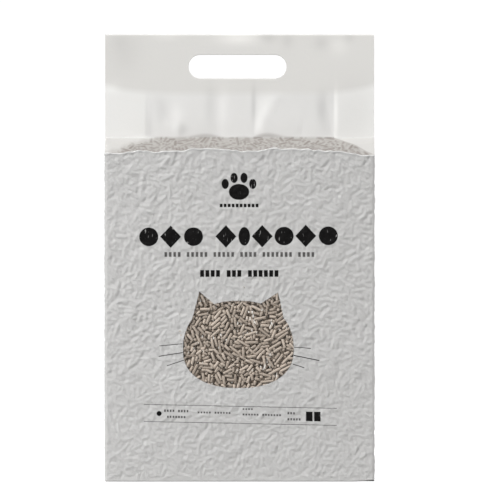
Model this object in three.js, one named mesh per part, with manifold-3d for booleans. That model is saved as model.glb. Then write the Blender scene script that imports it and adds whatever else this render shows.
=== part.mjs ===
// A vacuum-packed bag of pellet cat litter, standing on its base. Millimetres, +Z up.
// The origin is on the ground under the middle of the pack, and the front panel faces -Y.
//
// Two separate things make it up:
//   film_bag  one tube of laminated film with a gusset folded in at each side. It wraps the litter as a
//             brick, folds over its top like the ends of a parcel, and goes on up as a flat welded header
//             with a hand slot punched through it.
//   litter    the pellets inside, pressed into one hard block by the vacuum.

import * as THREE from "three";
import { mergeVertices } from "three/addons/utils/BufferGeometryUtils.js";
import Module from "manifold-3d";

// ---- Driving dimensions ----
const BAG_WIDTH = 250; // the front panel, from side fold to side fold
const GUSSET = 38; // how far each side gusset folds in: the brick is twice as deep
const BRICK_HEIGHT = 306; // base to the crease at the top of the front panel
const ROOF_RISE = 13; // crease to the ridge where the front and back panels meet
const BAG_HEIGHT = 415; // base to the top edge of the header
const WELD_FROM = 361; // the header's plies are welded together from this height up
const FILM = 0.15; // film thickness
const LOOSE_PITCH = 0.45; // plies that only lie on each other, middle to middle
const WELD_PITCH = 0.2; // plies that are welded
const SETTLING_GAP = 0.3; // left between the film and the litter
const EDGE_RADIUS = 3; // the brick's upright edges
const BASE_RADIUS = 2; // the edges round its base
const SLOT = { length: 91, height: 21.7, middleX: -2, belowTop: 29.9 };

const ARC_STEPS = 4; // segments in a rounded edge or a fold
const SHARP_EDGE = 1; // radius that the upright edges tighten to at the top crease
const EDGE_TIGHTENS = 12; // over this height below the crease
const CREASE = 0.06; // part of the roof taken by the bend at its foot, and as much at the ridge
const WELD_FADE = 1; // height over which loose plies come together into the weld
const LITTER_TOP = 0.93; // the litter is flat topped this far up the roof

// ---- The film's section ----
const halfWidth = BAG_WIDTH / 2 - FILM / 2;
const halfDepth = GUSSET - FILM / 2;
// The roof is shallow, so a level section through it shows the film this many times thicker, and its
// plies as many times further apart.
const roofSpread = Math.hypot(GUSSET, ROOF_RISE) / ROOF_RISE;

// Points along an arc, from one angle to another, in degrees.
function arc(x, y, radius, from, to) {
  return Array.from({ length: ARC_STEPS + 1 }, (_, i) => {
    const angle = THREE.MathUtils.degToRad(from + ((to - from) * i) / ARC_STEPS);
    return new THREE.Vector2(x + radius * Math.cos(angle), y + radius * Math.sin(angle));
  });
}

// A whole loop from its front right quarter, mirrored to make the other three.
function loopOf(corner) {
  const flip = (points, sx, sy) => points.map((p) => new THREE.Vector2(p.x * sx, p.y * sy));
  return [
    ...corner,
    ...flip(corner, 1, -1).reverse(),
    ...flip(corner, -1, -1),
    ...flip(corner, -1, 1).reverse(),
  ];
}

// The section round the brick: a rectangle with rounded corners, shrunk by inset all round.
function brickLoop(radius, inset) {
  const x = halfWidth - inset;
  const y = halfDepth - inset;
  const r = Math.max(radius - inset, SHARP_EDGE / 2);
  const corner = arc(x - r, -y + r, r, -90, 0);
  corner.push(new THREE.Vector2(x, -y + r + SHARP_EDGE));
  return loopOf(corner);
}

// The section above the crease. Each gusset ply runs back from the side fold, close behind the panel, to
// the hip, and across to the other panel. At the ridge the four plies lie flat on each other.
function foldedLoop(toRidge, plyPitch, spread) {
  const pitch = plyPitch * spread;
  const x = BAG_WIDTH / 2 - (spread * FILM) / 2;
  const y = THREE.MathUtils.lerp(halfDepth, 1.5 * pitch, toRidge);
  const corner = arc(x - pitch / 2, -y + pitch / 2, pitch / 2, -90, 90);
  corner.push(new THREE.Vector2(halfWidth - GUSSET * toRidge, -y + pitch));
  return loopOf(corner);
}

// ---- Lofting ----
// A loop moved sideways along its own normals, outwards where distance is positive.
function offset(loop, distance) {
  return loop.map((p, i) => {
    const before = loop.at(i - 1);
    const after = loop[(i + 1) % loop.length];
    const a = p.clone().sub(before).normalize();
    const b = after.clone().sub(p).normalize();
    const mitre = new THREE.Vector2(a.y + b.y, -a.x - b.x);
    return p.clone().addScaledVector(mitre, (2 * distance) / mitre.lengthSq());
  });
}

// A surface through loops at rising heights, as triangles that face outwards or, reversed, inwards.
function wallBetween(levels, reversed) {
  const triangles = [];
  const count = levels[0].loop.length;
  const at = (level, i) => {
    const p = level.loop[i % count];
    return [p.x, p.y, level.z];
  };
  for (let k = 0; k + 1 < levels.length; k++)
    for (let i = 0; i < count; i++) {
      const [a, b] = [at(levels[k], i), at(levels[k], i + 1)];
      const [d, c] = [at(levels[k + 1], i), at(levels[k + 1], i + 1)];
      triangles.push([a, b, c], [a, c, d]);
    }
  return reversed ? triangles.map((t) => t.toReversed()) : triangles;
}

// A flat cover over a convex loop, facing down unless it is reversed.
function coverOf({ z, loop }, reversed) {
  const triangles = [];
  for (let i = 1; i + 1 < loop.length; i++)
    triangles.push([loop[0], loop[i + 1], loop[i]].map((p) => [p.x, p.y, z]));
  return reversed ? triangles.map((t) => t.toReversed()) : triangles;
}

function geometryOf(triangles) {
  const geometry = new THREE.BufferGeometry();
  geometry.setAttribute("position", new THREE.Float32BufferAttribute(triangles.flat(2), 3));
  return geometry;
}

// ---- Levels, from the ground up ----
// The rounded edge round the base, shared by the film and the litter.
function baseLevels(inset) {
  return Array.from({ length: ARC_STEPS + 1 }, (_, i) => {
    const angle = ((Math.PI / 2) * i) / ARC_STEPS;
    return {
      z: BASE_RADIUS * (1 - Math.cos(angle)),
      loop: brickLoop(EDGE_RADIUS, inset + BASE_RADIUS * (1 - Math.sin(angle))),
      spread: 1,
    };
  });
}

function filmLevels() {
  const brick = (z, radius) => ({ z, loop: brickLoop(radius, 0), spread: 1 });
  const roof = (toRidge) => ({
    z: BRICK_HEIGHT + ROOF_RISE * toRidge,
    loop: foldedLoop(toRidge, LOOSE_PITCH, roofSpread),
    spread: roofSpread,
  });
  const header = (z, plyPitch) => ({ z, loop: foldedLoop(1, plyPitch, 1), spread: 1 });
  return [
    ...baseLevels(0),
    brick(BRICK_HEIGHT - EDGE_TIGHTENS, EDGE_RADIUS),
    brick(BRICK_HEIGHT, SHARP_EDGE),
    roof(CREASE),
    roof(1 - CREASE),
    header(BRICK_HEIGHT + ROOF_RISE, LOOSE_PITCH),
    header(WELD_FROM - WELD_FADE, LOOSE_PITCH),
    header(WELD_FROM, WELD_PITCH),
    header(BAG_HEIGHT, WELD_PITCH),
  ];
}

// ---- The two pieces ----
const wasm = await Module();
wasm.setup();

function solidOf(geometry) {
  const bare = geometry.clone();
  bare.deleteAttribute("normal");
  bare.deleteAttribute("uv");
  const merged = mergeVertices(bare, 1e-4);
  return new wasm.Manifold(
    new wasm.Mesh({
      numProp: 3,
      vertProperties: merged.attributes.position.array,
      triVerts: new Uint32Array(merged.index.array),
    }),
  );
}

function geometryFrom(solid) {
  const { vertProperties, triVerts } = solid.getMesh();
  const geometry = new THREE.BufferGeometry();
  geometry.setAttribute("position", new THREE.Float32BufferAttribute(vertProperties, 3));
  geometry.setIndex(new THREE.BufferAttribute(triVerts, 1));
  return geometry;
}

// A tool the shape of the hand slot, long enough to cut through every ply of the header.
function slotTool() {
  const radius = SLOT.height / 2;
  const reach = SLOT.length / 2 - radius;
  const outline = new THREE.Shape();
  outline.moveTo(-reach, -radius);
  outline.lineTo(reach, -radius);
  outline.absarc(reach, 0, radius, -Math.PI / 2, Math.PI / 2);
  outline.lineTo(-reach, radius);
  outline.absarc(-reach, 0, radius, Math.PI / 2, (3 * Math.PI) / 2);
  const throughHeader = 20;
  const tool = new THREE.ExtrudeGeometry(outline, {
    depth: throughHeader,
    bevelEnabled: false,
    curveSegments: 16,
  });
  tool.translate(0, 0, -throughHeader / 2);
  tool.rotateX(Math.PI / 2);
  tool.translate(SLOT.middleX, 0, BAG_HEIGHT - SLOT.belowTop);
  return tool;
}

// The film stands half its thickness to each side of its section. Its welded plies keep a hair's breadth
// between them, so the tube is closed at its base and open between the plies along its top edge.
function filmBag() {
  const levels = filmLevels();
  const side = (sign) =>
    levels.map(({ z, loop, spread }) => ({ z, loop: offset(loop, (sign * spread * FILM) / 2) }));
  const outer = side(1);
  const inner = side(-1);
  inner[0].z = FILM;
  inner.slice(1, ARC_STEPS).forEach((level) => (level.z += FILM / 2));
  const lip = [outer.at(-1), inner.at(-1)];
  const bag = geometryOf([
    ...wallBetween(outer, false),
    ...coverOf(outer[0], false),
    ...wallBetween(inner, true),
    ...coverOf(inner[0], true),
    ...wallBetween(lip, false),
  ]);
  return geometryFrom(solidOf(bag).subtract(solidOf(slotTool())));
}

// The block of pellets: the brick's shape, with a hipped top that the film's folds lie on.
function litterBlock() {
  const gap = FILM / 2 + SETTLING_GAP;
  const base = baseLevels(gap).map(({ z, loop }) => ({ z: z + FILM + SETTLING_GAP, loop }));
  const shoulder = { z: BRICK_HEIGHT, loop: brickLoop(EDGE_RADIUS, gap * roofSpread) };
  const top = {
    z: BRICK_HEIGHT + ROOF_RISE * LITTER_TOP,
    loop: hipLoop(LITTER_TOP, gap * roofSpread),
  };
  return geometryOf([
    ...wallBetween([...base, shoulder, top], false),
    ...coverOf(base[0], false),
    ...coverOf(top, true),
  ]);
}

// The litter's section part of the way up its hipped top. It has as many points as brickLoop.
function hipLoop(toRidge, inset) {
  const x = halfWidth - GUSSET * toRidge - inset;
  const y = halfDepth * (1 - toRidge) - inset;
  const r = y / 2;
  const corner = arc(x - r, -y + r, r, -90, 0);
  corner.push(new THREE.Vector2(x, -y + (r * 5) / 4));
  return loopOf(corner);
}

function piece(name, geometry, material) {
  const mesh = new THREE.Mesh(geometry, material);
  mesh.name = name;
  return mesh;
}

const film = new THREE.MeshStandardMaterial({ color: 0xc4c3c0, roughness: 0.4, metalness: 0 });
const pellets = new THREE.MeshStandardMaterial({ color: 0xa39382, roughness: 0.85, metalness: 0 });

const pack = new THREE.Group();
pack.add(piece("film_bag", filmBag(), film));
pack.add(piece("litter", litterBlock(), pellets));

export default pack;
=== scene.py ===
import math

import bmesh
import bpy
import numpy as np
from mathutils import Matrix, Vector


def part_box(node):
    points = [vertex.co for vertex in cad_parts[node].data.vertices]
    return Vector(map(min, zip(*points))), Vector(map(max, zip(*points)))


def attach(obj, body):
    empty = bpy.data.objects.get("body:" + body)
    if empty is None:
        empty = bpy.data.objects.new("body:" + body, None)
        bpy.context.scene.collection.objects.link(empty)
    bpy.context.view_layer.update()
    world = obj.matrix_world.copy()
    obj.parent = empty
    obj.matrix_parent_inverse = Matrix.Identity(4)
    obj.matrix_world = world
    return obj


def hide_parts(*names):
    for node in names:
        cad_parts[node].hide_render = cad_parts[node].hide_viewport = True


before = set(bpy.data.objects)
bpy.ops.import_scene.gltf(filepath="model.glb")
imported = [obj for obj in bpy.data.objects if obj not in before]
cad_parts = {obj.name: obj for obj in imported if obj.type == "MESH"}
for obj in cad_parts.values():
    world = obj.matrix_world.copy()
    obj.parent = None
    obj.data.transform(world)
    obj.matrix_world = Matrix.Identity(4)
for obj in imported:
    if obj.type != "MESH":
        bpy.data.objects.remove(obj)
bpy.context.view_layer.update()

# ==== Litter, where it lies against the film ====
# Pellets of pressed plant fibre, 2.6 mm thick and snapped off at 5 to 16 mm. The vacuum presses the outer
# ones against the film, most of them flat and some end on, and the next layers show through their gaps.
# Lengths in this script are in millimetres until a mesh is made.
MM = 0.001
PELLET_RADIUS = 1.28
PELLET_SHORTEST, PELLET_LONGEST = 5.0, 16.5
MOST_ARE_SHORT = (1.3, 2.3)  # the two numbers of the beta distribution that lengths are drawn from
SHORT_BIT = 4.5  # length of the bits that lie where no whole pellet fits
ON_END = 0.2  # share of the pellets that stand end on to the film
TURNS_TRIED = 12  # ways round in which a pellet is tried, where it comes to lie
HITS_ALLOWED = 2  # of the 27 places tested on a pellet, how many may be on another one
BUNDLE_SWING, BUNDLE_PULL = 1.3, 0.9  # how much the bundles' direction changes, and how strong they are
SUNK_BY_CHANCE, SUNK_BY_A_HIT = 0.35, 0.3  # how deep under the film a pellet lies
CELL = 0.45  # grid on which the pellets are laid out
BURIED = -2 * PELLET_RADIUS  # where no pellet of a layer lies


def cells_near(field, x, z, angle, length, reach, wraps):
    """The cells of a field near a line, each cell's distance from it, and how far along it that is."""
    rows_all, cols_all = field.shape
    half = length / 2 + reach
    rows = np.arange(max(0, int((z - half) / CELL)), min(rows_all, int((z + half) / CELL) + 2))
    cols = np.arange(int((x - half) / CELL), int((x + half) / CELL) + 2)
    if not wraps:
        cols = cols[(cols >= 0) & (cols < cols_all)]
    dz = rows[:, None] * CELL - z
    dx = cols[None, :] * CELL - x
    along = dx * math.cos(angle) + dz * math.sin(angle)
    across = dz * math.cos(angle) - dx * math.sin(angle)
    beyond = np.maximum(np.abs(along) - length / 2, 0)
    return np.ix_(rows, cols % cols_all), np.hypot(across, beyond), along


def lay_pellets(rng, width, height, tries, wraps=False):
    """Lays pellets flat on an area: each turns to where it fits, and then to the way its bundle lies."""
    taken = np.zeros((round(height / CELL), round(width / CELL)), bool)
    tops = np.full(taken.shape, BURIED)
    lengthwise = np.linspace(-0.5, 0.5, 9)[None, :, None]
    sideways = np.array([-0.85, 0, 0.85])[None, None, :] * PELLET_RADIUS
    waves = rng.normal(0, 0.22, (6, 2))
    phases = rng.uniform(0, 2 * math.pi, 6)
    pellets = []
    for _ in range(tries):
        x, z = rng.uniform(0, width), rng.uniform(0, height)
        length = PELLET_SHORTEST + (PELLET_LONGEST - PELLET_SHORTEST) * rng.beta(*MOST_ARE_SHORT)
        if rng.random() < ON_END:
            length = 2 * PELLET_RADIUS
        turn = rng.uniform(0, math.pi)
        if taken[int(z / CELL) % taken.shape[0], int(x / CELL) % taken.shape[1]]:
            continue
        angles = turn + np.arange(TURNS_TRIED) * math.pi / TURNS_TRIED
        bundle = BUNDLE_SWING * np.sin(waves @ (x, z) + phases).sum()
        cos, sin = np.cos(angles)[:, None, None], np.sin(angles)[:, None, None]
        for length in (length, min(length, SHORT_BIT)):
            along = lengthwise * length
            rows = ((z + along * sin + sideways * cos) / CELL).astype(int).clip(0, taken.shape[0] - 1)
            cols = ((x + along * cos - sideways * sin) / CELL).astype(int) % taken.shape[1]
            hits = taken[rows, cols].sum(axis=(1, 2))
            best = int((hits + BUNDLE_PULL * np.abs(np.sin(angles - bundle))).argmin())
            if hits[best] <= HITS_ALLOWED:
                break
        else:
            continue
        depth = rng.uniform(0, SUNK_BY_CHANCE) + SUNK_BY_A_HIT * hits[best]
        body = length - 2 * PELLET_RADIUS
        where, away, _ = cells_near(taken, x, z, angles[best], body, PELLET_RADIUS, wraps)
        inside = away < PELLET_RADIUS
        taken[where] |= inside
        crown = np.sqrt(np.maximum(PELLET_RADIUS**2 - away**2, 0)) - PELLET_RADIUS - depth
        tops[where] = np.maximum(tops[where], np.where(inside, crown, BURIED))
        pellets.append((x, z, angles[best], length, depth))
    return np.array(pellets), tops


# The brick: half its width and depth, and its height to the crease at the top of the front panel. Its
# hipped roof rises to a ridge, where the front and back panels meet and go on up as the header.
_, bag_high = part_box("film_bag")
HALF_WIDTH, HALF_DEPTH, BAG_HEIGHT = bag_high[0] / MM, bag_high[1] / MM, bag_high[2] / MM
BRICK_HEIGHT = 306.0
RIDGE = 319.0
ROOF_LENGTH = math.hypot(HALF_DEPTH, RIDGE - BRICK_HEIGHT)

# The film's grid goes round the brick from the middle of one rounded edge to the next: the front panel,
# the right gusset, the back panel and the left gusset. Two cells of the layout make one of the film's.
PANEL_COLS, SIDE_COLS = 276, 82
COLS = 2 * (PANEL_COLS + SIDE_COLS)
STEP = 2 * CELL

WALL_TRIES, ROOF_TRIES, LAYER_TRIES = 90000, 12000, 9000  # enough to fill each area with pellets

rng = np.random.default_rng(11)
wall_pellets, wall_tops = lay_pellets(rng, COLS * STEP, BRICK_HEIGHT, WALL_TRIES, wraps=True)
roof_tops = [lay_pellets(rng, 2 * HALF_WIDTH, ROOF_LENGTH, ROOF_TRIES)[1] for _ in ("front", "back")]

# ---- Pellets behind the window ----
# The window lets one see the outer layer of pellets and, in the gaps of each layer, the next one down. They
# are extruded rods, snapped off with rough ends, and dusty with fibre.
WINDOW_X, WINDOW_Z = -1.2, 122.0  # middle of the window, which is shaped as a cat's head
WINDOW_HALF_WIDTH = 51.3
WINDOW_TOP, WINDOW_BOTTOM = 45.7, 35.2  # from its middle
WINDOW_EARS = 54.0  # tips of the ears, from its middle
BEHIND_RIM = 6.0  # the pellets go on this far behind the printed film
UNDER_FILM = 0.25
LAYER_DEPTHS = (0.0, 1.7, 3.4)
ON_END_LENGTH = 6.0  # how far a pellet that stands end on goes back from the film
LEANS_ON_END, LEANS_BELOW = 0.25, 0.16  # spread of the angles, in radians, at which the pellets lean
# Painted shade: pellets deeper under the film are made darker, as less light reaches them.
DEPTH_SHADE = 0.25  # how much darker a pellet is for each millimetre under the film
EDGE_RADIUS = 3.0
PANEL_LENGTH = 2 * (HALF_WIDTH - EDGE_RADIUS) + math.pi * EDGE_RADIUS / 2


def window_layers():
    """Pellets near the window as rows of x, z, angle, length and depth under the film."""
    wide = WINDOW_HALF_WIDTH + BEHIND_RIM
    low = WINDOW_Z - WINDOW_BOTTOM - BEHIND_RIM
    high = WINDOW_Z + WINDOW_EARS + BEHIND_RIM
    first = wall_pellets.copy()
    first[:, 0] = (first[:, 0] / (PANEL_COLS * STEP) - 0.5) * PANEL_LENGTH
    layers = [first]
    for depth in LAYER_DEPTHS[1:]:
        layer, _ = lay_pellets(rng, 2 * wide, high - low, LAYER_TRIES)
        layer += (WINDOW_X - wide, low, 0, 0, depth)
        layers.append(layer)
    pellets = np.concatenate(layers)
    near = (np.abs(pellets[:, 0] - WINDOW_X) < wide) & (pellets[:, 1] > low) & (pellets[:, 1] < high)
    return pellets[near]


def mark(mesh, name, values):
    """Gives each point of a mesh a number of its own, for nodes to read."""
    mesh.attributes.new(name, "FLOAT", "POINT").data.foreach_set("value", values.ravel())


def pellet_points(pellets):
    """One point at the middle of each pellet, with its turn, its length and a tone of its own, darkened with
    depth as painted shade.
    """
    mesh = bpy.data.meshes.new("pellet_points")
    mesh.vertices.add(len(pellets))
    x, z, angle, length, depth = pellets.T
    on_end = length < SHORT_BIT
    length = np.where(on_end, ON_END_LENGTH, length)
    tilt = np.where(on_end, math.pi / 2 + rng.normal(0, LEANS_ON_END, len(pellets)), 0)
    tilt += (depth > 1) * rng.normal(0, LEANS_BELOW, len(pellets))
    reach = np.abs(np.sin(tilt)) * length / 2 + np.abs(np.cos(tilt)) * PELLET_RADIUS
    y = -HALF_DEPTH + depth + UNDER_FILM + reach
    mesh.vertices.foreach_set("co", (np.stack([x, y, z], 1) * MM).ravel())
    turn = np.stack([tilt, math.pi / 2 - angle, np.zeros(len(pellets))], 1)
    mesh.attributes.new("turn", "FLOAT_VECTOR", "POINT").data.foreach_set("vector", turn.ravel())
    mark(mesh, "long", length * MM)
    # The tone holds painted shade: the deeper a pellet lies, the darker it is.
    mark(mesh, "tone", rng.random(len(pellets)) - DEPTH_SHADE * depth)
    return mesh


def node(tree, kind, inputs=(), **settings):
    """A new node with its settings made and its inputs set, or linked where an input is a socket."""
    made = tree.nodes.new(kind)
    for name, value in settings.items():
        setattr(made, name, value)
    for name, value in dict(inputs).items():
        if isinstance(value, bpy.types.NodeSocket):
            tree.links.new(value, made.inputs[name])
        else:
            made.inputs[name].default_value = value
    return made


def calc(tree, operation, *values, clamp=False):
    """The output of a maths node on some numbers or sockets."""
    made = node(tree, "ShaderNodeMath", dict(enumerate(values)), operation=operation, use_clamp=clamp)
    return made.outputs[0]


def vector_calc(tree, operation, first, second):
    """The output of a vector maths node on a socket and a vector, a number or a socket."""
    inputs = {0: first, "Scale" if operation == "SCALE" else 1: second}
    return node(tree, "ShaderNodeVectorMath", inputs, operation=operation).outputs[0]


def noise(tree, place, scale, detail=2.0, distortion=0.0):
    """The outputs of a noise texture."""
    inputs = {"Vector": place, "Scale": scale, "Detail": detail, "Distortion": distortion}
    return node(tree, "ShaderNodeTexNoise", inputs).outputs


def attribute(tree, name):
    """The number that each point of the mesh carries under a name."""
    return node(tree, "ShaderNodeAttribute", attribute_name=name).outputs["Fac"]


def pellet_tree():
    """Geometry nodes that put a pellet on every point: a rod with blunt broken ends and a rough skin.

    The rod is one unit long until it is put in place. The rings of points next to its ends are moved out
    close to them, and the ends are drawn in.
    """
    tree = bpy.data.node_groups.new("pellets_on_points", "GeometryNodeTree")
    sockets = {"Geometry": "Geometry", "Radius": "Float", "Roughness": "Float", "Material": "Material"}
    for name, kind in sockets.items():
        tree.interface.new_socket(name, in_out="INPUT", socket_type="NodeSocket" + kind)
    tree.interface.new_socket("Geometry", in_out="OUTPUT", socket_type="NodeSocketGeometry")
    given = tree.nodes.new("NodeGroupInput").outputs

    rod = node(
        tree,
        "GeometryNodeMeshCylinder",
        {"Vertices": 8, "Side Segments": 4, "Fill Segments": 1, "Radius": given["Radius"], "Depth": 1.0},
    )
    place = node(tree, "GeometryNodeInputPosition")
    ends = node(tree, "ShaderNodeSeparateXYZ", {"Vector": place.outputs[0]})
    off_middle = calc(tree, "ABSOLUTE", ends.outputs["Z"])
    is_end = node(tree, "FunctionNodeCompare", {"A": off_middle, "B": 0.49}, operation="GREATER_THAN")
    is_next = node(tree, "FunctionNodeCompare", {"A": off_middle, "B": 0.1}, operation="GREATER_THAN")
    spread = vector_calc(tree, "MULTIPLY", place.outputs[0], (1.0, 1.0, 1.8))
    narrow = vector_calc(tree, "MULTIPLY", place.outputs[0], (0.84, 0.84, 1.0))
    blunted = node(
        tree,
        "GeometryNodeSwitch",
        {"Switch": is_end.outputs[0], "False": spread, "True": narrow},
        input_type="VECTOR",
    )
    blunt = node(
        tree,
        "GeometryNodeSetPosition",
        {"Geometry": rod.outputs["Mesh"], "Selection": is_next.outputs[0], "Position": blunted.outputs[0]},
    )
    turn = node(tree, "GeometryNodeInputNamedAttribute", {"Name": "turn"}, data_type="FLOAT_VECTOR")
    long = node(tree, "GeometryNodeInputNamedAttribute", {"Name": "long"}, data_type="FLOAT")
    rotation = node(tree, "FunctionNodeEulerToRotation", {"Euler": turn.outputs[0]})
    scale = node(tree, "ShaderNodeCombineXYZ", {"X": 1.0, "Y": 1.0, "Z": long.outputs[0]})
    put = node(
        tree,
        "GeometryNodeInstanceOnPoints",
        {
            "Points": given["Geometry"],
            "Instance": blunt.outputs[0],
            "Rotation": rotation.outputs[0],
            "Scale": scale.outputs[0],
        },
    )
    real = node(tree, "GeometryNodeRealizeInstances", {"Geometry": put.outputs[0]})
    lumps = noise(tree, node(tree, "GeometryNodeInputPosition").outputs[0], 420.0)
    centred = vector_calc(tree, "SUBTRACT", lumps["Color"], (0.5, 0.5, 0.5))
    push = vector_calc(tree, "SCALE", centred, given["Roughness"])
    rough = node(tree, "GeometryNodeSetPosition", {"Geometry": real.outputs[0], "Offset": push})
    smooth = node(tree, "GeometryNodeSetShadeSmooth", {"Geometry": rough.outputs[0]}).outputs[0]
    coloured = node(tree, "GeometryNodeSetMaterial", {"Geometry": smooth, "Material": given["Material"]})
    tree.links.new(coloured.outputs[0], tree.nodes.new("NodeGroupOutput").inputs["Geometry"])
    return tree


def placed(name, data):
    """A new object in the scene."""
    made = bpy.data.objects.new(name, data)
    bpy.context.collection.objects.link(made)
    return made


def grown(points, name, tree, values):
    """The plain mesh that a geometry node tree makes of some points, as a new piece."""
    seed = placed(name + "_points", points)
    growth = seed.modifiers.new("growth", "NODES")
    growth.node_group = tree
    for item in tree.interface.items_tree:
        if item.in_out == "INPUT" and item.name in values:
            growth[item.identifier] = values[item.name]
    ready = seed.evaluated_get(bpy.context.evaluated_depsgraph_get())
    mesh = bpy.data.meshes.new_from_object(ready)
    seed.modifiers.remove(growth)
    bpy.data.objects.remove(seed)
    return placed(name, mesh)


def material(name, **sockets):
    """A new Principled material with some of its plain values set, its tree and its shader."""
    made = bpy.data.materials.new(name)
    made.use_nodes = True
    shader = made.node_tree.nodes["Principled BSDF"]
    for socket, value in sockets.items():
        shader.inputs[socket.replace("_", " ")].default_value = value
    return made, made.node_tree, shader


def bump_into(tree, shader, height, strength, distance):
    """Gives a shader's surface a relief too fine for its mesh."""
    bump = node(tree, "ShaderNodeBump", {"Height": height, "Strength": strength, "Distance": distance * MM})
    tree.links.new(bump.outputs["Normal"], shader.inputs["Normal"])


FIBRE_DARK, FIBRE_LIGHT = (0.25, 0.205, 0.165, 1), (0.60, 0.515, 0.435, 1)


def pellet_material():
    """Dry pressed fibre: grey-brown, each pellet a little lighter or darker and the deeper ones darker as
    painted shade, with fine crumbs and cracks.
    """
    made, tree, shader = material("pressed_fibre", Roughness=0.85, Specular_IOR_Level=0.3)
    place = node(tree, "ShaderNodeTexCoord").outputs["Object"]
    crumbs = noise(tree, place, 900.0, 4.0)["Fac"]
    lightness = calc(tree, "MULTIPLY", calc(tree, "ADD", attribute(tree, "tone"), crumbs), 0.5)
    ramp = node(tree, "ShaderNodeValToRGB", {"Fac": lightness})
    dark, light = ramp.color_ramp.elements
    dark.position, light.position = 0.0, 0.8
    dark.color, light.color = FIBRE_DARK, FIBRE_LIGHT
    tree.links.new(ramp.outputs["Color"], shader.inputs["Base Color"])
    bump_into(tree, shader, crumbs, 0.5, 0.3)
    return made


fibre = pellet_material()
window_pellets = grown(
    pellet_points(window_layers()),
    "window_pellets",
    pellet_tree(),
    {"Radius": PELLET_RADIUS * MM, "Roughness": 0.32 * MM, "Material": fibre},
)
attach(window_pellets, "root")

# ---- The rest of the brick of litter ----
# The pellets that nothing lets one see. The vacuum holds them together, so they are one block under the
# film, with its outside as rough as they are.
CORE_INSET = 5.2  # behind the deepest layer of pellets
CORE_CELL, CORE_ROUGHNESS = 6.0, 0.6


def litter_core():
    """A block of litter inside the film, with a rough skin of half-buried pellets."""
    core = bmesh.new()
    bmesh.ops.create_cube(core, size=1)
    half = np.array([HALF_WIDTH - CORE_INSET, HALF_DEPTH - CORE_INSET, (BRICK_HEIGHT - 2 * CORE_INSET) / 2])
    bmesh.ops.scale(core, vec=Vector(2 * half * MM), verts=core.verts)
    bmesh.ops.translate(core, vec=(0, 0, BRICK_HEIGHT / 2 * MM), verts=core.verts)
    bmesh.ops.bevel(core, geom=core.edges[:], offset=4 * MM, segments=2, affect="EDGES")
    for axis in range(3):
        for cut in np.arange(-half[axis] + CORE_CELL, half[axis], CORE_CELL):
            point = [0, 0, BRICK_HEIGHT / 2 * MM]
            point[axis] += cut * MM
            normal = [float(i == axis) for i in range(3)]
            geometry = core.verts[:] + core.edges[:] + core.faces[:]
            bmesh.ops.bisect_plane(core, geom=geometry, plane_co=point, plane_no=normal, dist=1e-6)
    for vertex in core.verts:
        vertex.co += Vector(rng.uniform(-CORE_ROUGHNESS, CORE_ROUGHNESS, 3)) * MM
    mesh = bpy.data.meshes.new("litter_brick")
    core.to_mesh(mesh)
    core.free()
    mesh.polygons.foreach_set("use_smooth", [True] * len(mesh.polygons))
    mesh.materials.append(fibre)
    return placed("litter_brick", mesh)


litter_brick = litter_core()
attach(litter_brick, "root")
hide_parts("litter")

# ==== Film, drawn tight over the litter ====
# One web of laminated film, white inside, 0.15 mm thick. The vacuum draws it down between the pellets, so
# it takes their shape, and where there is too much of it, it stands up in small sharp wrinkles.
FILM_CLEARANCE = 0.15
SAG, SAG_ROUNDS = 0.1, 26  # how far the film is drawn down between its neighbouring points, each time
DRAPE_DEPTH = 0.82  # the drape is drawn as this much of its full depth
WRINKLES, PER_AREA = 2100, 2e5  # how many there are on how many square millimetres
WRINKLE_STEP = 4.0  # length of each straight piece of a wrinkle
WRINKLE_REACH, WRINKLE_WIDTH = 2.2, 0.55
WRINKLE_HEIGHTS = (0.19, 0.62)
WRINKLE_TURNS = 0.4  # spread of the angles, in radians, between one piece of a wrinkle and the next
SWELLS, SWELL_HEIGHT = 60, 0.15
EDGE_TIGHT = 1.0  # the upright edges tighten to this radius at the top crease
TIGHTENS_OVER = 12.0
BASE_RADIUS = 1.0
ARC_ROWS, WALL_ROWS = 4, 337


def pooled(tops):
    """The highest of each two by two cells: the film's own grid."""
    rows, cols = tops.shape
    return tops[: rows // 2 * 2, : cols // 2 * 2].reshape(rows // 2, 2, cols // 2, 2).max(axis=(1, 3))


def neighbours(field):
    """The mean of each point's four neighbours. The grid wraps round the pack, and ends at its rims."""
    up = np.vstack([field[1:], field[-1:]])
    down = np.vstack([field[:1], field[:-1]])
    return (np.roll(field, 1, 1) + np.roll(field, -1, 1) + up + down) / 4


def draped(tops):
    """Film pulled down over the pellets: it rests on their tops and sags between them."""
    film = tops.copy()
    for _ in range(3):
        film = np.maximum(film, neighbours(film))
    for _ in range(SAG_ROUNDS):
        film = np.maximum(tops, neighbours(film) - SAG)
    return DRAPE_DEPTH * (0.6 * film + 0.4 * neighbours(film))


def over_a_gusset(x):
    """Whether a place along the walls' grid is on a gusset, where the folds keep the film smoother."""
    half_round = COLS * STEP / 2
    return x % half_round > PANEL_COLS * STEP


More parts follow.
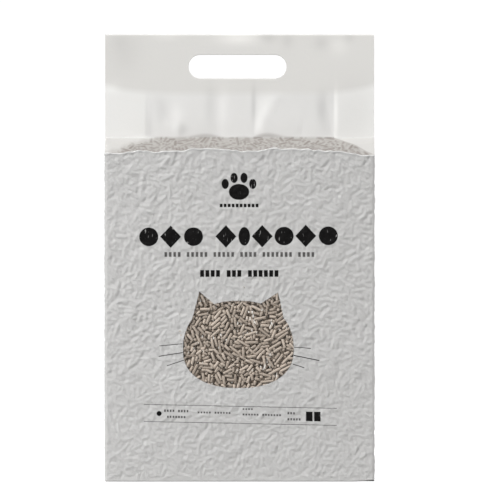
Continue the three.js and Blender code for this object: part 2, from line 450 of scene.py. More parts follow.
def wrinkles(shape):
    """Sharp little ridges, each wandering along, where the film is too long for what it covers.

    On the left half of the front panel they are longer, and most of them lean the same way.
    """
    field = np.zeros(shape)
    height, width = shape[0] * CELL, shape[1] * CELL
    for _ in range(int(WRINKLES * height * width / PER_AREA)):
        x, z = rng.uniform(0, width), rng.uniform(0, height)
        leaning = x < PANEL_COLS * STEP / 2
        angle = rng.normal(0.7, 0.6) if leaning else rng.uniform(0, math.pi)
        steps = rng.integers(3, 14 if leaning else 8)
        tall = rng.uniform(*WRINKLE_HEIGHTS) * (0.3 if over_a_gusset(x) else 1)
        for step in range(steps):
            share = tall * math.sin(math.pi * (step + 0.5) / steps)
            where, away, _ = cells_near(field, x, z, angle, WRINKLE_STEP, WRINKLE_REACH, True)
            field[where] = np.maximum(field[where], share * np.exp(-away / WRINKLE_WIDTH))
            turned = angle + rng.normal(0, WRINKLE_TURNS)
            x += WRINKLE_STEP / 2 * (math.cos(angle) + math.cos(turned))
            z += WRINKLE_STEP / 2 * (math.sin(angle) + math.sin(turned))
            angle = turned
            if not 0 < z < height:
                break
            x %= width
    return field


def swells(shape):
    """Slow rises and hollows, where the brick of litter is a little fuller or emptier."""
    total = np.zeros(shape)
    turns = np.arange(shape[1]) / shape[1] * 2 * math.pi
    height = np.arange(shape[0])[:, None] * STEP
    for _ in range(SWELLS):
        across = rng.integers(8, 50)
        upward = rng.uniform(-0.42, 0.42)
        total += np.sin(across * turns + upward * height + rng.uniform(0, 2 * math.pi))
    return SWELL_HEIGHT * total / math.sqrt(SWELLS / 2)


wall_relief = draped(pooled(wall_tops)) + FILM_CLEARANCE
wall_relief += pooled(wrinkles(wall_tops.shape)) + swells(wall_relief.shape)
roof_relief = [draped(pooled(tops)) + FILM_CLEARANCE for tops in roof_tops]


def smooth_step(x, low, high):
    """0 below low and 1 above high, with a soft turn at each."""
    t = np.clip((x - low) / (high - low), 0, 1)
    return t * t * (3 - 2 * t)


def slow_noise(count, width):
    """A gently wandering line of about unit size, as many points long as asked, wide steps apart."""
    raw = rng.normal(0, 1, count)
    reach = np.arange(-3 * width, 3 * width + 1)
    kernel = np.exp(-0.5 * (reach / width) ** 2)
    raw = np.convolve(np.concatenate([raw, raw, raw]), kernel, "same")[count : 2 * count]
    return raw / raw.std()


# Each panel's direction along the ground and the way that it faces, in the order of the grid's columns.
PANELS = [
    (PANEL_COLS, HALF_WIDTH, HALF_DEPTH, (1, 0), (0, -1)),
    (SIDE_COLS, HALF_DEPTH, HALF_WIDTH, (0, 1), (1, 0)),
    (PANEL_COLS, HALF_WIDTH, HALF_DEPTH, (-1, 0), (0, 1)),
    (SIDE_COLS, HALF_DEPTH, HALF_WIDTH, (0, -1), (-1, 0)),
]
RIGHT, BACK, LEFT = PANEL_COLS, PANEL_COLS + SIDE_COLS, 2 * PANEL_COLS + SIDE_COLS


def round_the_brick(inset, radius):
    """Rounded rectangles round the brick, one for each inset and edge radius, and which way they face."""
    inset, radius = inset[:, None], radius[:, None]
    points, facings = [], []
    for count, half_along, half_out, along, out in PANELS:
        flat = half_along - inset - radius
        u = (2 * np.arange(count) / count - 1) * (flat + radius * math.pi / 4)
        turn = np.clip((np.abs(u) - flat) / radius, 0, None)
        a = np.sign(u) * (np.minimum(np.abs(u), flat) + radius * np.sin(turn))
        o = half_out - inset - radius * (1 - np.cos(turn))
        points.append(a[..., None] * along + o[..., None] * out)
        facings.append((np.sign(u) * np.sin(turn))[..., None] * along + np.cos(turn)[..., None] * out)
    return np.concatenate(points, 1), np.concatenate(facings, 1)


FOLD_HEIGHT, FOLD_WIDTH = 0.7, 0.9
LAP_HEIGHT = 0.6
CORNER_LIFT = 1.3
CALM_BELOW, CALM = (60, 130), 0.84  # near the ground the relief is lower
UNCREASED = 2.6  # below the crease, the height over which the relief ends
CREASE_PULLS, CORNER_PULLS = 16, 9  # how far down the crease, and up the corner, carry the film with them


def seam_relief(z):
    """What the making of the bag leaves on its walls: the gussets' middle folds and the lap seam behind."""
    relief = np.zeros((len(z), COLS))
    across = (np.arange(SIDE_COLS) / SIDE_COLS - 0.5) * 2 * HALF_DEPTH
    fold = FOLD_HEIGHT * np.exp(-((across / FOLD_WIDTH) ** 2))
    relief[:, RIGHT:BACK] += fold
    relief[:, LEFT:] += fold
    across = (np.arange(PANEL_COLS) / PANEL_COLS - 0.5) * 2 * HALF_WIDTH
    relief[:, BACK:LEFT] += LAP_HEIGHT * smooth_step(across, -9, -8) * (1 - smooth_step(across, 5, 8))
    return relief


def crease_wander(x):
    """How far the crease strays up or down: it wanders, and droops at the ends, most at the right."""
    droop = 3.2 * smooth_step(x, 92, HALF_WIDTH) + 1.2 * smooth_step(-x, 96, HALF_WIDTH)
    return crease_line * smooth_step(HALF_WIDTH - np.abs(x), 0, 14) - droop


def corner_lift(plan):
    """The front right corner of the base stands a little off the floor."""
    rightward, forward = plan[..., 0], -plan[..., 1]
    return CORNER_LIFT * smooth_step(rightward, 104, HALF_WIDTH) * smooth_step(forward, 12, HALF_DEPTH)


def wall_grid():
    """Every point of the film round the brick, from the ground up to the crease, and which way it faces."""
    turn = np.linspace(0, math.pi / 2, ARC_ROWS + 1)[:-1]
    rise = np.linspace(BASE_RADIUS, BRICK_HEIGHT, WALL_ROWS + 1)
    z = np.concatenate([BASE_RADIUS * (1 - np.cos(turn)), rise])
    inset = np.concatenate([BASE_RADIUS * (1 - np.sin(turn)), 0 * rise])
    level = np.concatenate([np.sin(turn), 0 * rise + 1])
    tight = smooth_step(z, BRICK_HEIGHT - TIGHTENS_OVER, BRICK_HEIGHT)
    radius = EDGE_RADIUS + (EDGE_TIGHT - EDGE_RADIUS) * tight
    plan, facing = round_the_brick(inset, radius)
    normal = np.concatenate([facing * level[:, None, None], facing[..., :1] * 0], 2)
    normal[..., 2] = -np.sqrt(1 - level**2)[:, None]
    at = np.clip(z / STEP, 0, len(wall_relief) - 1.001)
    part = (at - at.astype(int))[:, None]
    relief = wall_relief[at.astype(int)] * (1 - part) + wall_relief[at.astype(int) + 1] * part
    rounded = np.abs(facing[..., 0] * facing[..., 1]) * 2
    relief *= CALM + (1 - CALM) * smooth_step(z, *CALM_BELOW)[:, None]
    relief = relief * (1 - 0.6 * rounded) + seam_relief(z)
    relief *= level[:, None] * smooth_step(z, 0, 4)[:, None]
    near_top = smooth_step(z, BRICK_HEIGHT - UNCREASED, BRICK_HEIGHT)[:, None]
    relief = relief * (1 - near_top) + 0.3 * near_top * (1 - rounded)
    point = np.concatenate([plan, np.broadcast_to(z[:, None, None], plan.shape[:2] + (1,))], 2)
    point = point + normal * relief[..., None]
    pulled = smooth_step(z, BRICK_HEIGHT - CREASE_PULLS, BRICK_HEIGHT)[:, None]
    point[..., 2] += crease_wander(plan[..., 0]) * pulled
    point[..., 2] += corner_lift(plan) * (1 - smooth_step(z, 0, CORNER_PULLS))[:, None]
    return point, normal


crease_line = 1.0 * slow_noise(COLS, 20) + 0.6 * slow_noise(COLS, 6) + 0.35 * slow_noise(COLS, 2)
wall_points, wall_normals = wall_grid()


def new_piece(name, points, faces, finish, smooth=None):
    """A piece from its points in millimetres and its faces, smooth except across the edges of its rim."""
    mesh = bpy.data.meshes.new(name)
    mesh.from_pydata((points * MM).tolist(), [], faces)
    mesh.polygons.foreach_set("use_smooth", np.ones(len(mesh.polygons), bool) if smooth is None else smooth)
    for each in finish:
        mesh.materials.append(each)
    return placed(name, mesh)


def grid_faces(rows, cols, wraps=False):
    """The quads of a grid of points that are numbered along its rows, which go up and to the right."""
    c = np.arange(cols if wraps else cols - 1)
    r = np.arange(rows - 1)[:, None] * cols
    right = (c + 1) % cols
    return np.stack([r + c, r + right, r + cols + right, r + cols + c], -1).reshape(-1, 4).tolist()


PLY = 1.4  # a panel is closed this far behind its film, deeper than the film is drawn in


def closed_panel(name, first, last, finish, inner_finish=None):
    """A panel of the walls, from one column to another, closed behind with a plain flat skin.

    Its top row is where the film is creased, and an attribute there makes it whiter: a painted highlight
    along the crease.
    """
    cols = [c % COLS for c in range(first, last + 1)]
    outer, normals = wall_points[:, cols], wall_normals[:, cols]
    rows, width = outer.shape[:2]
    flat = (outer - normals * PLY).reshape(-1, 3)
    number = np.arange(rows * width).reshape(rows, width)
    low, high = number[0].tolist(), number[-1].tolist()
    left, right = number[:, 0].tolist(), number[:, -1].tolist()
    rim = low + right[1:-1] + high[::-1] + left[-2:0:-1]
    behind = {old: rows * width + new for new, old in enumerate(rim)}
    faces = grid_faces(rows, width)
    shown = len(faces)
    for a, b in zip(rim, rim[1:] + rim[:1]):
        faces.append([b, a, behind[a], behind[b]])
    faces.append([behind[v] for v in [left[1]] + [right[1]] + low[::-1]])
    for k in range(1, rows - 2):
        faces.append([behind[v] for v in (right[k], left[k], left[k + 1], right[k + 1])])
    faces.append([behind[v] for v in [right[-2]] + [left[-2]] + high])
    points = np.concatenate([outer.reshape(-1, 3), flat[rim]])
    smooth = np.arange(len(faces)) < shown
    piece = new_piece(name, points, faces, finish, smooth)
    crease_highlight = np.zeros(len(points))
    # Painted highlight along the crease, on the top row.
    crease_highlight[number[-1]] = 1.0
    mark(piece.data, "crease_highlight", crease_highlight)
    if inner_finish:
        piece.data.materials.append(inner_finish)
        piece.data.polygons.foreach_set("material_index", np.where(smooth, 0, 1).astype(np.int32))
    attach(piece, "root")
    return piece


# ---- The film's finishes ----
# Semi-gloss laminate of clear films, with white printed between them. Close up it carries fine crinkles and
# a faint haze. A painted highlight makes it whiter along the crease at the top of the walls.
def mixed(tree, factor, first, second):
    """The output of a colour mix of two colours or sockets."""
    return node(tree, "ShaderNodeMix", {0: factor, 6: first, 7: second}, data_type="RGBA").outputs[2]


def film_surface_group():
    """Fine crinkles, a slow change of tone and a painted fall of light from left to right, which all of the
    film has.
    """
    tree = bpy.data.node_groups.new("film_surface", "ShaderNodeTree")
    tree.interface.new_socket("Place", in_out="INPUT", socket_type="NodeSocketVector")
    tree.interface.new_socket("Crinkle Scale", in_out="INPUT", socket_type="NodeSocketFloat")
    for name in ("Tone And Painted Light", "Shine", "Height"):
        tree.interface.new_socket(name, in_out="OUTPUT", socket_type="NodeSocketFloat")
    given = tree.nodes.new("NodeGroupInput").outputs
    slow = noise(tree, given["Place"], 26.0, 3.0)["Fac"]
    across = node(tree, "ShaderNodeSeparateXYZ", {"Vector": given["Place"]}).outputs["X"]
    fine = noise(tree, given["Place"], given["Crinkle Scale"], 4.0, 1.2)["Fac"]
    ridges = calc(tree, "ABSOLUTE", calc(tree, "SUBTRACT", fine, 0.5))
    out = tree.nodes.new("NodeGroupOutput").inputs
    # Painted light: the tone grows lighter to the left and darker to the right, as if lit more strongly from
    # the left.
    tree.links.new(calc(tree, "MULTIPLY_ADD", across, -2.8, slow), out["Tone And Painted Light"])
    tree.links.new(calc(tree, "MULTIPLY_ADD", fine, 0.16, 0.42), out["Shine"])
    tree.links.new(calc(tree, "SUBTRACT", 0.2, ridges), out["Height"])
    return tree


film_surface = film_surface_group()
WHITE_LOW, WHITE_HIGH = (0.55, 0.545, 0.536, 1), (0.618, 0.613, 0.604, 1)
CREASE_HIGHLIGHT = (0.94, 0.94, 0.93, 1)
FILM_SPECULAR = 0.25


def skin_of_film(tree, place, crinkle_scale):
    """The outputs of the film's surface group, placed in a material."""
    inputs = {"Place": place, "Crinkle Scale": crinkle_scale}
    return node(tree, "ShaderNodeGroup", inputs, node_tree=film_surface).outputs


def film_material(name, crinkle_scale=480.0, depth=1.5):
    """White-backed film. The colour that it starts from is given back for what is printed on it."""
    made, tree, shader = material(name, Specular_IOR_Level=FILM_SPECULAR)
    place = node(tree, "ShaderNodeTexCoord").outputs["Object"]
    surface = skin_of_film(tree, place, crinkle_scale)
    bump_into(tree, shader, surface["Height"], 0.85, depth)
    # The tone carries painted light, lighter to the left and darker to the right.
    colour = mixed(tree, surface["Tone And Painted Light"], WHITE_LOW, WHITE_HIGH)
    # Painted highlight along the crease.
    colour = mixed(tree, attribute(tree, "crease_highlight"), colour, CREASE_HIGHLIGHT)
    tree.links.new(surface["Shine"], shader.inputs["Roughness"])
    tree.links.new(colour, shader.inputs["Base Color"])
    return made, tree, shader, place, colour


# ---- The front panel: its window and its print ----
# The window is where no white is printed behind the film. The print is one black ink, laid on as plain
# discs, lozenges, ticks and lines and a paw mark, and it is worn off along some of the wrinkles.
INK = (0.006, 0.0055, 0.0055, 1)
GREY_INK = (0.10, 0.097, 0.094, 1)
INK_SPECULAR = 0.08
ROUNDNESS, HEAD_SCALE = 2.3, 18.0  # of the window's head, where 2 is an ellipse, and its size near its edge
EAR_LEFT = ((-37.4, 176.2), (-45.0, 147.0), (-20.5, 162.0))
EAR_RIGHT = ((35.6, 175.4), (17.0, 163.5), (41.5, 148.5))


def all_of(tree, operation, values):
    """One value from many: their least or their greatest."""
    result = values[0]
    for value in values[1:]:
        result = calc(tree, operation, result, value)
    return result


def triangle(tree, x, z, corners):
    """How far a place is outside a triangle whose corners are given anticlockwise, in millimetres."""
    offs = []
    for (x0, z0), (x1, z1) in zip(corners, corners[1:] + corners[:1]):
        length = math.hypot(x1 - x0, z1 - z0)
        nx, nz = (z1 - z0) / length, (x0 - x1) / length
        off = calc(tree, "MULTIPLY_ADD", x, nx, -(nx * x0 + nz * z0))
        offs.append(calc(tree, "MULTIPLY_ADD", z, nz, off))
    return all_of(tree, "MAXIMUM", offs)


def from_middle(tree, value, middle, half):
    """How far a coordinate is past a middle, as a share of half a size."""
    return calc(tree, "MULTIPLY_ADD", value, 1 / half, -middle / half)


def window_distance(tree, x, z):
    """How far a place is outside the window: a broad round head with two pointed ears."""
    dx = calc(tree, "ABSOLUTE", from_middle(tree, x, WINDOW_X, WINDOW_HALF_WIDTH))
    up = from_middle(tree, z, WINDOW_Z, WINDOW_TOP)
    down = from_middle(tree, z, WINDOW_Z, -WINDOW_BOTTOM)
    dz = calc(tree, "MAXIMUM", up, down)
    powers = calc(tree, "ADD", calc(tree, "POWER", dx, ROUNDNESS), calc(tree, "POWER", dz, ROUNDNESS))
    head = calc(tree, "MULTIPLY_ADD", powers, HEAD_SCALE, -HEAD_SCALE)
    ears = [triangle(tree, x, z, corners) for corners in (EAR_LEFT, EAR_RIGHT)]
    return all_of(tree, "MINIMUM", [head, *ears])


def coverage(tree, distance, edge=0.35):
    """1 inside a shape and 0 outside, from the distance outside it."""
    return calc(tree, "MULTIPLY_ADD", distance, -1 / edge, 0.5, clamp=True)


def off_span(tree, value, middle, half):
    """How far a coordinate is outside a span."""
    return calc(tree, "SUBTRACT", calc(tree, "ABSOLUTE", calc(tree, "SUBTRACT", value, middle)), half)


def row_of_blocks(tree, x, z, middle, height, spans, slope=0.0):
    """How far a place is outside a row of blocks, each from one x to another."""
    over = off_span(tree, calc(tree, "MULTIPLY_ADD", x, -slope, z), middle, height / 2)
    beside = [off_span(tree, x, (start + end) / 2, (end - start) / 2) for start, end in spans]
    return calc(tree, "MAXIMUM", over, all_of(tree, "MINIMUM", beside))


def ellipse(tree, x, z, middle, half_width, half_height):
    """How far a place is outside an ellipse, nearly."""
    dx = from_middle(tree, x, middle[0], half_width)
    dz = from_middle(tree, z, middle[1], half_height)
    radius = calc(tree, "SQRT", calc(tree, "MULTIPLY_ADD", dx, dx, calc(tree, "MULTIPLY", dz, dz)))
    scale = min(half_width, half_height)
    return calc(tree, "MULTIPLY_ADD", radius, scale, -scale)


def lozenge(tree, x, z, middle, half_width, half_height):
    """How far a place is outside a lozenge, nearly."""
    dx = calc(tree, "ABSOLUTE", from_middle(tree, x, middle[0], half_width))
    dz = calc(tree, "ABSOLUTE", from_middle(tree, z, middle[1], half_height))
    scale = half_width * half_height / math.hypot(half_width, half_height)
    return calc(tree, "MULTIPLY_ADD", calc(tree, "ADD", dx, dz), scale, -scale)


def row_of_ticks(tree, x, z, middle, height, start, pitch, width, words, slope=0.0):
    """How far a place is outside a row of even ticks. Each word runs from one whole tick to another."""
    spans = [(start + pitch * first, start + pitch * last) for first, last in words]
    turn = calc(tree, "FRACT", calc(tree, "MULTIPLY_ADD", x, 1 / pitch, 50 - start / pitch))
    beside = calc(tree, "ABSOLUTE", calc(tree, "SUBTRACT", turn, 0.5))
    beside = calc(tree, "MULTIPLY_ADD", beside, pitch, -width / 2)
    return calc(tree, "MAXIMUM", row_of_blocks(tree, x, z, middle, height, spans, slope), beside)


# The title's shapes: where each starts and ends. Every other one is a lozenge.
TITLE = [(-93.0, -75.4), (-73.6, -54.2), (-51.6, -34.0), (-22.4, -3.0), (-1.0, 9.6)]
TITLE += [(11.2, 30.6), (32.4, 50.0), (51.6, 71.0), (73.4, 91.0)]
TITLE_Z, TITLE_SLOPE = 227.4, 0.006
DISC_HALF_HEIGHT, LOZENGE_HALF_HEIGHT = 8.6, 10.4
# Rows of ticks: the middle and height of the row, its start, the pitch and width of its ticks, and its words.
TAGLINE = (210.6, 4.4, -70.5, 4.13, 2.4, [(0, 4), (5, 10), (11, 16), (17, 21), (22, 29), (30, 34)])
SUBTITLE = (193.0, 6.2, -37.3, 4.93, 3.6, [(0, 4), (5, 8), (9, 15)])
UNDER_PAW = (256.0, 3.2, -19.0, 3.7, 2.6, [(0, 10)])
# The paw mark's pad and toes: the middle, and half the width and height.
PAD = ((-0.6, 268.6), 9.4, 7.4)
TOES = [((x, z), 3.3, 4.7) for x, z in ((-13.4, 276.0), (-5.2, 281.6), (4.0, 281.6), (12.2, 276.0))]
# The strip low on the panel: two lines with a dot, a block of two halves and small rows between them.
STRIP_SLOPE = -0.0205
STRIP_LINES, STRIP_LINE_HEIGHT, STRIP_SPAN = (69.8, 54.0), 0.55, (-88.8, 90)
STRIP_BLOCKS = (61.8, 8.8, [(61.5, 67.6), (69.0, 75.0)])
STRIP_DOT = ((-74.7, 63.2), 2.3, 2.3)
SMALL_START, SMALL_PITCH, SMALL_WIDTH = -70.5, 2.6, 1.6
SMALL_ROWS = [
    (64.4, 2.2, [(0, 4), (5, 9), (44, 47)]),
    (58.8, 2.0, [(1, 8), (44, 49)]),
    (63.5, 1.7, [(12, 17), (18, 24)]),
    (67.4, 1.5, [(28, 32)]),
    (62.4, 1.7, [(28, 34), (35, 42)]),
]
# The whiskers: the height that each would have at x = 0, its thickness, its start and end, and its slope.
WHISKERS = [
    (132.4, 0.6, [(-74.5, -52.8)], 0.087),
    (128.1, 0.75, [(-75.0, -52.8)], 0.16),
    (129.7, 0.7, [(-67.5, -51.6)], 0.33),
    (128.5, 0.7, [(50.6, 66.0)], -0.075),
    (127.1, 0.85, [(50.2, 74.0)], -0.2),
    (125.3, 0.75, [(49.2, 60.0)], -0.33),
]
PRINT_BENDS = 0.4  # how far the print's edges stray
WINDOW_MARGIN = 3.0  # how far past the window the panel's inside is clear and the clear sheet goes on


def place_in_mm(tree, place):
    """The x and the z of a place."""
    xyz = node(tree, "ShaderNodeSeparateXYZ", {"Vector": place}).outputs
    return calc(tree, "DIVIDE", xyz["X"], MM), calc(tree, "DIVIDE", xyz["Z"], MM)


def printed_front():
    made, tree, shader, place, white = film_material("printed_front")
    bend = vector_calc(tree, "SUBTRACT", noise(tree, place, 260.0, 1.0)["Color"], (0.5, 0.5, 0.5))
    bend = vector_calc(tree, "SCALE", bend, PRINT_BENDS * MM)
    x, z = place_in_mm(tree, vector_calc(tree, "ADD", place, bend))

    black = [ellipse(tree, x, z, *shape) for shape in (PAD, *TOES, STRIP_DOT)]
    for number, (start, end) in enumerate(TITLE):
        draw, half_height = ((ellipse, DISC_HALF_HEIGHT), (lozenge, LOZENGE_HALF_HEIGHT))[number % 2]
        half_width, middle = (end - start) / 2, (start + end) / 2
        black.append(draw(tree, x, z, (middle, TITLE_Z + TITLE_SLOPE * middle), half_width, half_height))
    black.append(row_of_blocks(tree, x, z, *STRIP_BLOCKS, STRIP_SLOPE))
    grey = [row_of_ticks(tree, x, z, *TAGLINE)]
    for height in STRIP_LINES:
        grey.append(row_of_blocks(tree, x, z, height, STRIP_LINE_HEIGHT, [STRIP_SPAN], STRIP_SLOPE))
    for middle, height, words in SMALL_ROWS:
        ticks = (SMALL_START, SMALL_PITCH, SMALL_WIDTH, words, STRIP_SLOPE)
        grey.append(row_of_ticks(tree, x, z, middle, height, *ticks))
    crisp = [row_of_ticks(tree, x, z, *row) for row in (SUBTITLE, UNDER_PAW)]
    crisp += [row_of_blocks(tree, x, z, *whisker) for whisker in WHISKERS]
    black, grey, crisp = (coverage(tree, all_of(tree, "MINIMUM", shapes)) for shapes in (black, grey, crisp))

    wear = {"Vector": place, "Rotation": (0, 0.12, 0), "Scale": (1.0, 1.0, 0.16)}
    worn = noise(tree, node(tree, "ShaderNodeMapping", wear).outputs[0], 700.0, 1.0)["Fac"]
    kept = calc(tree, "MULTIPLY_ADD", worn, -6.0, 5.1, clamp=True)
    black_ink = calc(tree, "MAXIMUM", calc(tree, "MULTIPLY", black, kept), crisp)
    colour = mixed(tree, black_ink, mixed(tree, grey, white, GREY_INK), INK)
    specular = calc(tree, "MULTIPLY_ADD", black_ink, INK_SPECULAR - FILM_SPECULAR, FILM_SPECULAR)
    tree.links.new(specular, shader.inputs["Specular IOR Level"])
    tree.links.new(colour, shader.inputs["Base Color"])
    solid = calc(tree, "SUBTRACT", 1.0, coverage(tree, window_distance(tree, x, z)))
    tree.links.new(solid, shader.inputs["Alpha"])
    return made


def film_inside():
    """The white inside of the front panel, which is see-through a little way past the window's edge."""
    made, tree, shader = material("film_inside", Roughness=0.5)
    place = node(tree, "ShaderNodeTexCoord").outputs["Object"]
    off = calc(tree, "SUBTRACT", window_distance(tree, *place_in_mm(tree, place)), WINDOW_MARGIN)
    haze = noise(tree, place, 60.0)["Fac"]
    tree.links.new(mixed(tree, haze, WHITE_LOW, WHITE_HIGH), shader.inputs["Base Color"])
    tree.links.new(calc(tree, "SUBTRACT", 1.0, coverage(tree, off)), shader.inputs["Alpha"])
    return made


film_front = closed_panel("film_front", 0, PANEL_COLS, [printed_front()], film_inside())
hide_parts("film_bag")

# ---- The other walls ----
# The back panel and the two gussets are the same film, plain white. The web's edges are lapped and welded
# down the middle of the back, and each gusset keeps the fold down its middle.
plain_film = film_material("plain_film")[0]
closed_panel("film_right_gusset", RIGHT, BACK, [plain_film])
closed_panel("film_back", BACK, LEFT, [plain_film])
closed_panel("film_left_gusset", LEFT, COLS, [plain_film])

# ---- Clear film over the window ----
# The same film without its white. It goes on from the panel round it and lies tight on the pellets, and
# painted glints, whitish spots and streaks in its colour, stand in for the light that its creases catch.
SHEET_THICKNESS = 0.06
LEVEL_ROW = 20  # the row of the walls' grid on which the sheet's columns are counted
HAZE, GLINT = 0.006, 0.7  # how much of the clear sheet shows, and how much more on a glint


def clear_film():
    made, tree, shader = material("clear_film", Base_Color=(0.95, 0.92, 0.87, 1), Roughness=0.2, IOR=1.5)
    place = node(tree, "ShaderNodeTexCoord").outputs["Object"]
    bump_into(tree, shader, skin_of_film(tree, place, 300.0)["Height"], 0.5, 0.2)
    lean = {"Vector": place, "Rotation": (0, 0.7, 0), "Scale": (1.0, 1.0, 0.32)}
    # Painted glints: where two noises peak, the sheet shows more of its whitish colour, as painted
    # highlights.
    glint_streaks = noise(tree, node(tree, "ShaderNodeMapping", lean).outputs[0], 600.0, 1.0)["Fac"]
    glint_patches = calc(tree, "MULTIPLY", noise(tree, place, 45.0)["Fac"], 0.5)
    glints = calc(tree, "MULTIPLY_ADD", calc(tree, "ADD", glint_streaks, glint_patches), 26.0, -25.7, clamp=True)
    tree.links.new(calc(tree, "MULTIPLY_ADD", glints, GLINT, HAZE), shader.inputs["Alpha"])
    return made


def window_sheet():
    across = wall_points[LEVEL_ROW, : PANEL_COLS + 1, 0]
    cols = np.flatnonzero(np.abs(across - WINDOW_X) < WINDOW_HALF_WIDTH + WINDOW_MARGIN)
    height = wall_points[:, PANEL_COLS // 2, 2]
    low, high = WINDOW_Z - WINDOW_BOTTOM - WINDOW_MARGIN, WINDOW_Z + WINDOW_EARS + WINDOW_MARGIN
    rows = np.flatnonzero((height > low) & (height < high))
    part = wall_points[rows][:, cols] - wall_normals[rows][:, cols] * SHEET_THICKNESS
    piece = new_piece("film_window", part.reshape(-1, 3), grid_faces(len(rows), len(cols)), [clear_film()])
    skin = piece.modifiers.new("thickness", "SOLIDIFY")
    skin.thickness = SHEET_THICKNESS * MM
    skin.offset = -1
    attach(piece, "root")
    return piece


window_sheet()

# ---- The base ----
# The tube's bottom end, folded under flat like a parcel's, with the gussets turned in at its ends, and
# heat-sealed along its middle.
BASE_RINGS = 20
BASE_RISE, SEAL_SINKS, FOLD_SINKS = 0.4, 0.2, 0.1  # inside its rim, how high the base is off the ground


def base_panel():
    share = np.linspace(0, 1, BASE_RINGS + 1)
    inset = BASE_RADIUS + share * (HALF_DEPTH - BASE_RADIUS)
    plan, _ = round_the_brick(inset, EDGE_RADIUS * (1 - share) + 0.02)
    x, y = np.abs(plan[..., 0]), plan[..., 1]
    seal = smooth_step(y, -7, -6) * (1 - smooth_step(y, 5, 6))
    corner_fold = smooth_step(x - (HALF_WIDTH - HALF_DEPTH), -1, 1)
    z = BASE_RISE - SEAL_SINKS * seal - FOLD_SINKS * corner_fold
    z[0] = 0.0
    z += corner_lift(plan)
    points = np.concatenate([plan, z[..., None]], 2)[::-1].reshape(-1, 3)
    rows = BASE_RINGS + 1
    faces = grid_faces(rows, COLS, wraps=True)
    rim = np.arange((rows - 1) * COLS, rows * COLS)
    lid = points[rim] + (0, 0, 1.0)
    number = len(points)
    for k in range(COLS):
        after = (k + 1) % COLS
        faces.append([rim[k], rim[after], number + after, number + k])
    faces.append([number + k for k in range(COLS)])
    smooth = np.arange(len(faces)) < BASE_RINGS * COLS
    piece = new_piece("film_base", np.concatenate([points, lid]), faces, [plain_film], smooth)
    shape = bmesh.new()
    shape.from_mesh(piece.data)
    bmesh.ops.remove_doubles(shape, verts=shape.verts, dist=0.03 * MM)
    bmesh.ops.recalc_face_normals(shape, faces=shape.faces)
    shape.to_mesh(piece.data)
    shape.free()
    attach(piece, "root")
    return piece


base_panel()

# ==== The folded top and the header ====
# Above the crease the film has no white: it is frosted, and the litter shows through it. The front and back
# panels lean in over the litter, with the gussets tucked in at the ends. They meet at the ridge, gather in
# soft upright folds, and are welded flat from there to the top, with the hand slot punched through.
ROOF_ROWS, HEADER_ROWS = 38, 78
ROOF_STRETCH = 0.6  # the pellets under the roof lie mostly up and down its slope
PLY_GAP = 0.4  # between one ply of the header and the next
WELD_FROM, WELD_RISES = 360.0, 8.0  # the weld's lower edge at its middle, and how much higher at its ends
SLOT_LENGTH, SLOT_HEIGHT, SLOT_X, SLOT_Z = 91.0, 21.7, -2.0, 385.1
SLOT_STEPS = 24  # straight pieces in each of the slot's ends

# Where the litter is heaped at the ridge: the middle, half the width, and how high.
HEAPS = [(-31.0, 17.0, 2.6), (28.0, 11.0, 3.2), (11.0, 5.0, -1.6)]

# Valleys in the gathered film: the lower and upper ends, the width to the left and to the right, and how
# deep each is, where less than nothing is a ridge.
VALLEYS = [
    ((-64.0, 331.0), (-77.0, 354.0), 4.5, 6.0, 0.5),
    ((-57.0, 320.0), (-57.0, 333.0), 3.5, 3.5, -0.5),
    ((-21.0, 321.0), (-21.0, 360.0), 6.0, 6.0, 0.5),
    ((13.0, 317.0), (15.5, 362.0), 2.6, 7.0, 0.5),
    ((14.0, 318.0), (34.0, 358.0), 6.0, 6.0, -0.5),
    ((57.0, 319.0), (58.5, 334.0), 3.0, 3.0, 0.3),
    ((84.5, 320.0), (79.0, 358.0), 6.0, 3.5, 0.6),
]


def folds_at(x, z):
    """How far the gathered film stands out to the front at each place of the header."""
    out = np.zeros(x.shape)
    for (x0, z0), (x1, z1), left, right, depth in VALLEYS:
        t = np.clip((z - z0) / (z1 - z0), 0, 1)
        away = x - (x0 + (x1 - x0) * t)
        low, high = min(z0, z1), max(z0, z1)
        ends = smooth_step(z, low - 8, low + 5) * (1 - smooth_step(z, high - 8, high + 7))
        out -= depth * ends * np.exp(-((away / np.where(away < 0, left, right)) ** 2))
    return out


# Painted light and shade on the frosted film, for the header's soft highlights, the lit and shaded sides of
# the gathered folds and the shade on the right ear: the middle, half the width and height, and how much
# lighter.
PAINTED_LIGHT_PATCHES = [
    ((-107.0, 399.0), 15.0, 19.0, -0.05),
    ((-112.0, 408.0), 7.0, 8.0, -0.03),
    ((-68.0, 412.5), 12.0, 3.5, 0.05),
    ((-1.0, 411.5), 19.0, 6.0, 0.15),
    ((26.0, 412.5), 8.0, 5.0, -0.09),
    ((44.5, 410.0), 5.5, 8.0, -0.06),
    ((76.0, 407.0), 7.0, 6.5, -0.07),
    ((92.0, 404.0), 8.5, 8.0, 0.06),
    ((101.5, 412.5), 5.0, 5.0, -0.06),
    ((-119.5, 365.5), 7.0, 6.0, 0.05),
    ((-28.0, 349.0), 4.5, 18.0, -0.05),
    ((-15.5, 348.0), 6.0, 18.0, 0.06),
    ((-84.0, 329.0), 3.0, 14.0, -0.07),
    ((-73.0, 343.0), 5.0, 10.0, -0.06),
    ((-59.0, 340.0), 6.0, 11.0, 0.07),
    ((-53.5, 327.0), 5.0, 6.0, -0.1),
    ((13.0, 348.0), 2.2, 18.0, -0.09),
    ((24.0, 348.0), 9.0, 12.0, 0.07),
    ((18.0, 329.0), 5.0, 10.0, 0.08),
    ((106.0, 318.3), 24.0, 1.3, -0.12),
    ((-112.0, 318.3), 24.0, 1.3, -0.08),
    ((76.5, 345.0), 5.0, 14.0, -0.09),
    ((89.5, 340.0), 1.8, 22.0, 0.12),
    ((106.0, 340.0), 22.0, 32.0, -0.06),
]


